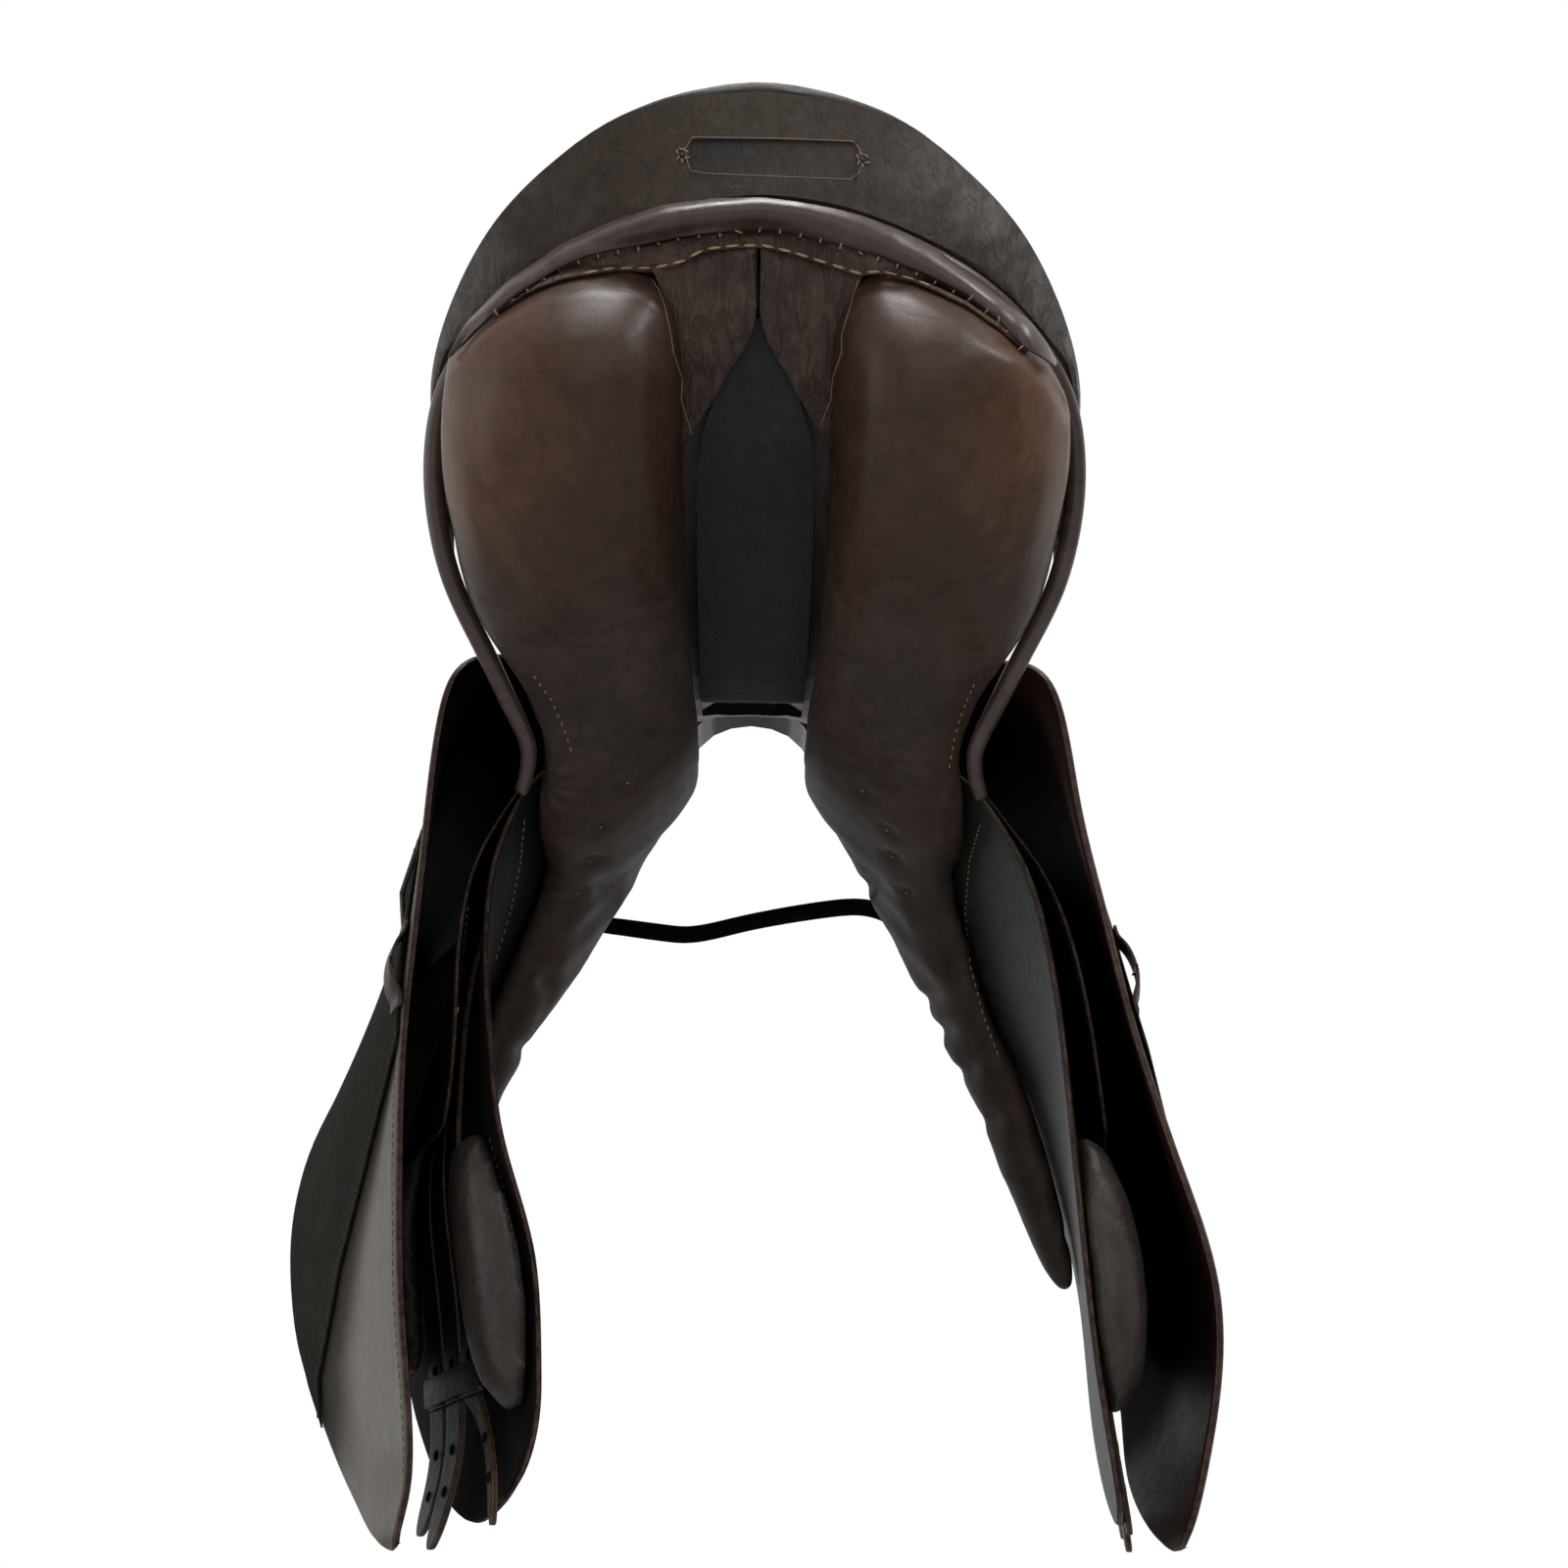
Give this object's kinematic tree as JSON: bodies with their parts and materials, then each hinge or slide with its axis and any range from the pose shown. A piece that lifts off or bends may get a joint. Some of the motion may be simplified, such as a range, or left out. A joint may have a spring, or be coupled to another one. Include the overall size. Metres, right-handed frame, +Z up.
{
  "type": "dressage saddle",
  "caption": "English riding saddle with deep seat on a sprung tree, stuffed panels, hinged flaps and skirts, girth straps, stirrup bars and a front grab strap.",
  "frame": {"origin": "middle of the waist, midway between the flaps, at the level of the panels' underside where the saddle rests on the horse's back", "axes": "+X to the saddle's right side, +Y forward to the pommel, +Z up"},
  "size_m": [0.5137, 0.5051, 0.6253],
  "materials": {
    "seat_leather": "satin, lightly creased",
    "flap_leather": "smooth satin",
    "panel_leather": "smooth, soft sheen",
    "plum_leather": "waxed, glossy",
    "black_leather": "waxed strap leather",
    "grip_leather": "pebbled",
    "lining": "thin lining skin",
    "foam": "open-cell seat foam",
    "webbing": "flat canvas web",
    "beech": "laminated beech",
    "spring_steel": "plain spring steel",
    "fitting_steel": "polished stainless"
  },
  "bodies": {
    "saddle": {"seat_cover": "seat_leather", "seat_foam": "foam", "seat_webbing": "webbing", "tree": "beech", "tree_spring_left": "spring_steel", "tree_spring_right": "spring_steel", "head_arch": "beech", "gullet_plate": "spring_steel", "arch_facing": "black_leather", "cantle_back": "seat_leather", "cantle_block": "beech", "welt": "plum_leather", "gullet_lining": "lining", "rear_gusset_left": "panel_leather", "rear_gusset_right": "panel_leather", "panel_left": "panel_leather", "sweat_flap_left": "flap_leather", "knee_block_left": "panel_leather", "thigh_block_left": "plum_leather", "billet_keeper_left": "plum_leather", "billet_guard_left": "flap_leather", "flap_top_strip_left": "plum_leather", "stirrup_bar_left": "fitting_steel", "bar_pin_left": "fitting_steel", "dee_tab_left": "plum_leather", "billet_strap_left_1": "black_leather", "billet_strap_left_2": "black_leather", "billet_strap_left_3": "black_leather", "panel_right": "panel_leather", "sweat_flap_right": "flap_leather", "knee_block_right": "panel_leather", "thigh_block_right": "plum_leather", "billet_keeper_right": "plum_leather", "billet_guard_right": "flap_leather", "flap_top_strip_right": "plum_leather", "stirrup_bar_right": "fitting_steel", "bar_pin_right": "fitting_steel", "dee_tab_right": "plum_leather", "billet_strap_right_1": "black_leather", "billet_strap_right_2": "black_leather", "billet_strap_right_3": "black_leather"},
    "flap_left": {"flap_left": "flap_leather", "grip_patch_left": "grip_leather", "stirrup_keeper_left": "plum_leather"},
    "skirt_left": {"skirt_left": "flap_leather"},
    "bar_catch_left": {"bar_catch_left": "fitting_steel"},
    "billet_tail_left_1": {"billet_tail_left_1": "plum_leather"},
    "billet_tail_left_2": {"billet_tail_left_2": "plum_leather"},
    "billet_tail_left_3": {"billet_tail_left_3": "plum_leather"},
    "flap_right": {"flap_right": "flap_leather", "grip_patch_right": "grip_leather", "stirrup_keeper_right": "plum_leather"},
    "skirt_right": {"skirt_right": "flap_leather"},
    "bar_catch_right": {"bar_catch_right": "fitting_steel"},
    "billet_tail_right_1": {"billet_tail_right_1": "plum_leather"},
    "billet_tail_right_2": {"billet_tail_right_2": "plum_leather"},
    "billet_tail_right_3": {"billet_tail_right_3": "plum_leather"},
    "grab_strap": {"grab_strap": "black_leather", "dee_ring_left": "fitting_steel", "dee_ring_right": "fitting_steel"}
  },
  "joints": [
    {"name": "flap_left_lift", "type": "hinge", "parent": "saddle", "child": "flap_left", "pos_m": [-0.0784, 0.12, 0.054], "axis": [0, 1, 0], "range_deg": [0, 62]},
    {"name": "skirt_left_lift", "type": "hinge", "parent": "flap_left", "child": "skirt_left", "pos_m": [-0.0807, 0.12, 0.0555], "axis": [0, 1, 0], "range_deg": [0, 20]},
    {"name": "bar_catch_left_turn", "type": "hinge", "parent": "saddle", "child": "bar_catch_left", "pos_m": [-0.09, 0.097, 0.0415], "axis": [-1, 0, 0], "range_deg": [0, 35]},
    {"name": "billet_tail_left_1_swing", "type": "hinge", "parent": "saddle", "child": "billet_tail_left_1", "pos_m": [-0.13539, 0.074, -0.329], "axis": [-0.4104, 0.9119, 0], "range_deg": [0, 20]},
    {"name": "billet_tail_left_2_swing", "type": "hinge", "parent": "saddle", "child": "billet_tail_left_2", "pos_m": [-0.14757, 0.101, -0.329], "axis": [-0.4104, 0.9119, 0], "range_deg": [0, 20]},
    {"name": "billet_tail_left_3_swing", "type": "hinge", "parent": "saddle", "child": "billet_tail_left_3", "pos_m": [-0.15974, 0.128, -0.329], "axis": [-0.4104, 0.9119, 0], "range_deg": [0, 20]},
    {"name": "flap_right_lift", "type": "hinge", "parent": "saddle", "child": "flap_right", "pos_m": [0.0784, 0.12, 0.054], "axis": [0, -1, 0], "range_deg": [0, 62]},
    {"name": "skirt_right_lift", "type": "hinge", "parent": "flap_right", "child": "skirt_right", "pos_m": [0.0807, 0.12, 0.0555], "axis": [0, -1, 0], "range_deg": [0, 20]},
    {"name": "bar_catch_right_turn", "type": "hinge", "parent": "saddle", "child": "bar_catch_right", "pos_m": [0.09, 0.097, 0.0415], "axis": [-1, 0, 0], "range_deg": [0, 35]},
    {"name": "billet_tail_right_1_swing", "type": "hinge", "parent": "saddle", "child": "billet_tail_right_1", "pos_m": [0.18125, 0.074, -0.329], "axis": [-0.158, -0.9874, 0], "range_deg": [0, 10]},
    {"name": "billet_tail_right_2_swing", "type": "hinge", "parent": "saddle", "child": "billet_tail_right_2", "pos_m": [0.18561, 0.101, -0.329], "axis": [-0.158, -0.9874, 0], "range_deg": [0, 5]},
    {"name": "billet_tail_right_3_swing", "type": "hinge", "parent": "saddle", "child": "billet_tail_right_3", "pos_m": [0.18996, 0.128, -0.329], "axis": [-0.158, -0.9874, 0], "range_deg": [0, 5]},
    {"name": "grab_strap_swing", "type": "hinge", "parent": "saddle", "child": "grab_strap", "pos_m": [0, 0.2168, -0.012], "axis": [-1, 0, 0], "range_deg": [-5, 60]}
  ]
}
